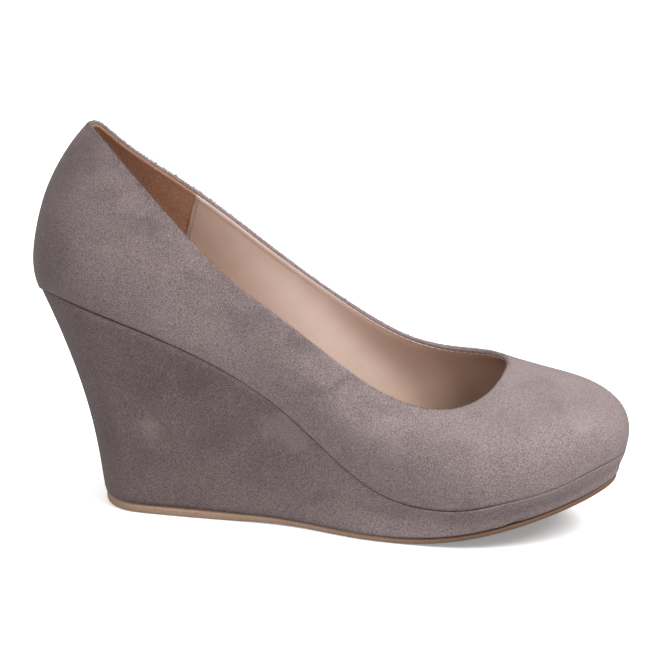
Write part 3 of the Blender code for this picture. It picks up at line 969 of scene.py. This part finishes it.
def make_slab(node, name, material):
    """A finer copy of a thin flat solid, with crisp corners."""
    shape = merged_copy(node)
    crease_edges(shape, corner_edges(shape), SLAB_CREASE)
    return add_piece(name, shape, material, levels=2)


sole_piece = make_slab("outsole", "tan_sole", sole_rubber)
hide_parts("outsole")
sock = make_slab("insole", "sock", sock_leather)
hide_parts("insole")

# %% [markdown]
# Against the light, brushed suede has a halo of loose fibres, most of all along the topline, where
# the skin is folded. Each fibre is a three-sided spike of a millimetre or two, planted on the outer
# side of the rim and leaning one way or the other along it. Hair particles would do too, but
# spikes export as plain mesh. A fixed seed keeps them the same in every render.

# %% A fibre's place and length
FIBRE_ROWS = (11, 14)    # from the wall's last row but one up to the top of the rim
FIBRE_LENGTH = 0.0025
FIBRE_RADIUS = 0.000045
FIBRE_TIP = 0.2    # the tip's radius, as a share of the root's
SPREAD, UPWARDS = 0.9, 0.1    # how far a fibre leans along the rim, and how far up
ROOT_DEPTH = 0.0001    # a root sits this deep in the suede


def fibre_reach(x):
    """Share of a fibre's length: full beside the heel, short along the sides and at the very back."""
    return clamp((0.005 - x) / 0.07, low=0.4) * clamp((x + 0.105) / 0.03, low=0.35)


def place_fibre(chance, at):
    """A fibre's length and the matrix that stands it on the rim at a station."""
    first, last = FIBRE_ROWS
    row, slide, rise = chance.randrange(first, last), chance.random(), chance.random()
    ahead = (at + 1) % STATIONS
    root = GRID[row][at].lerp(GRID[row][ahead], slide)
    root = root.lerp(GRID[row + 1][at].lerp(GRID[row + 1][ahead], slide), rise)
    along = (GRID[row][ahead] - GRID[row][at]).normalized()
    out = GRID_OUT[row][at].lerp(GRID_OUT[row + 1][at], rise)
    way = (out + along * chance.uniform(-SPREAD, SPREAD) + Vector((0, 0, UPWARDS))).normalized()
    length = FIBRE_LENGTH * (0.25 + 0.75 * chance.random() ** 1.3) * fibre_reach(root.x)
    if row == first:
        length *= rise    # they grow out of the smooth side without a step
    middle = Matrix.Translation(root + way * (length / 2 - ROOT_DEPTH))
    return length, middle @ way.to_track_quat("Z", "Y").to_matrix().to_4x4()


print("fibres are up to this long, mm:", 1000 * FIBRE_LENGTH)

# %% [markdown]
# Thousands of small shapes in one bmesh get slower and slower to add to, so the fibres are made in
# tufts of 200 that are merged through a mesh. Their stations are drawn by length, so that there are
# as many to the millimetre at the tight curve of the heel as along the sides.

# %% Loose fibres along the topline
FIBRES = 9000
TUFT = 200


def add_fibres():
    """All the fibres of the topline as one piece."""
    chance = random.Random(7)
    shape, tuft = bmesh.new(), bmesh.new()
    heap = bpy.data.meshes.new("tuft")
    low = GRID[FIBRE_ROWS[0]]
    steps = [(low[(at + 1) % STATIONS] - low[at]).length for at in range(STATIONS)]
    for number, at in enumerate(chance.choices(range(STATIONS), weights=steps, k=FIBRES)):
        length, place = place_fibre(chance, at)
        bmesh.ops.create_cone(
            tuft, cap_ends=False, segments=3, radius1=FIBRE_RADIUS, radius2=FIBRE_RADIUS * FIBRE_TIP,
            depth=length, matrix=place,
        )
        if number % TUFT == TUFT - 1 or number == FIBRES - 1:
            tuft.to_mesh(heap)
            tuft.clear()
            shape.from_mesh(heap)
    tuft.free()
    bpy.data.meshes.remove(heap)
    return add_piece("topline_fibres", shape, fibre_suede)


add_fibres()

# %% [markdown]
# The camera stands where the photographer stood: to the outer side of the shoe, a little in front
# and above it. A long lens from over a metre keeps the lines nearly parallel, as in the photograph.
# Blender gives the lens in millimetres of a 36 mm sensor, so it is worked out from the pixels.

# %% Camera
SENSOR_WIDTH = 36.0
PHOTO_WIDTH = 666    # pixels
FOCAL_LENGTH = 3132    # pixels

camera = link_object("photo_camera", bpy.data.cameras.new("photo_camera"))
camera.data.sensor_width = SENSOR_WIDTH
camera.data.lens = SENSOR_WIDTH * FOCAL_LENGTH / PHOTO_WIDTH
camera.data.clip_start = 0.05
camera.location = (0.291716, -1.119870, 0.390686)
aim = Vector((0.002187, -0.000346, 0.070)) - camera.location
camera.rotation_euler = aim.to_track_quat("-Z", "Y").to_euler()
bpy.context.scene.camera = camera
print("distance from the shoe, m:", round(aim.length, 3))

# %% [markdown]
# A product photograph stands on white paper that has been lit until it is as bright as the wall
# behind it, and only a faint shadow shows where the shoe is near. Here the paper is pale and glows
# for the camera alone, and the glow fades where Ambient Occlusion finds the shoe close by. For all
# other rays it is a dim grey, or it would light the sole and the wedge from below.

# %% Floor
SHADOW_REACH = 0.055    # the shadow fades out this far from the shoe


def make_paper():
    """White paper that the camera sees bright, but that throws little light."""
    material, tree, shader = new_material(
        "white_paper", {"Roughness": 0.9, "Specular IOR Level": 0.0, "Emission Strength": 1.0}
    )
    seen = add_node(tree, "ShaderNodeLightPath").outputs["Is Camera Ray"]
    paint = add_node(tree, "ShaderNodeMapRange", {"To Min": 0.30, "To Max": 0.95})
    open_air = add_node(tree, "ShaderNodeAmbientOcclusion", {"Distance": SHADOW_REACH}, samples=8)
    glow = add_node(
        tree, "ShaderNodeMapRange", {"From Min": 0.15, "From Max": 0.90, "To Min": 0.22, "To Max": 0.76}
    )
    for_camera = add_node(tree, "ShaderNodeMath", operation="MULTIPLY")
    wire(
        tree,
        (seen, paint.inputs["Value"]),
        (paint.outputs["Result"], shader.inputs["Base Color"]),
        (open_air.outputs["AO"], glow.inputs["Value"]),
        (glow.outputs["Result"], for_camera.inputs[0]),
        (seen, for_camera.inputs[1]),
        (for_camera.outputs[0], shader.inputs["Emission Color"]),
    )
    return material


def make_floor():
    """A sheet of paper 8 m wide, at z = 0."""
    shape = bmesh.new()
    bmesh.ops.create_grid(shape, x_segments=1, y_segments=1, size=4.0)
    mesh = bpy.data.meshes.new("studio_floor")
    shape.to_mesh(mesh)
    shape.free()
    mesh.materials.append(make_paper())
    return link_object("studio_floor", mesh)


floor = make_floor()
print("floor, m:", [round(side, 1) for side in floor.dimensions])

# %% [markdown]
# Four soft panels light the shoe. The key is high over the toe side, so that the toe is the
# brightest place. A weaker one fills the near side, one from behind draws the rim and its fibres,
# and a small one keeps the heel's shade open. The world is white to the camera and dim to the
# shoe, as the paper is, and the Standard view transform shows white as white.

# %% Lights
PANELS = [    # name, place, what it is turned to, width, height, watts
    ("key_panel", (0.96, -0.32, 1.20), (0.0, 0.0, 0.05), 0.8, 0.8, 23.5),
    ("near_fill", (0.15, -1.60, 0.30), (0.0, 0.0, 0.05), 1.0, 0.7, 7.8),
    ("back_fill", (-0.7, 1.6, 0.8), (0.0, 0.0, 0.06), 1.2, 0.9, 13.0),
    ("heel_fill", (-1.3, -0.7, 0.5), (-0.05, 0.0, 0.08), 0.8, 0.6, 3.8),
]

for name, place, target, width, height, watts in PANELS:
    light = bpy.data.lights.new(name, "AREA")
    light.shape = "RECTANGLE"
    light.size, light.size_y = width, height
    light.energy = watts
    panel = link_object(name, light)
    panel.location = place
    panel.rotation_euler = (Vector(target) - Vector(place)).to_track_quat("-Z", "Y").to_euler()
print("light panels:", len(PANELS))

world = bpy.data.worlds.new("white_room")
bpy.context.scene.world = world
world.use_nodes = True
room = world.node_tree
background = room.nodes["Background"]
background.inputs["Color"].default_value = (1, 1, 1, 1)
seen = add_node(room, "ShaderNodeLightPath")
strength = add_node(room, "ShaderNodeMapRange", {"To Min": 0.30, "To Max": 1.0})
wire(
    room,
    (seen.outputs["Is Camera Ray"], strength.inputs["Value"]),
    (strength.outputs["Result"], background.inputs["Strength"]),
)
bpy.context.scene.view_settings.view_transform = "Standard"
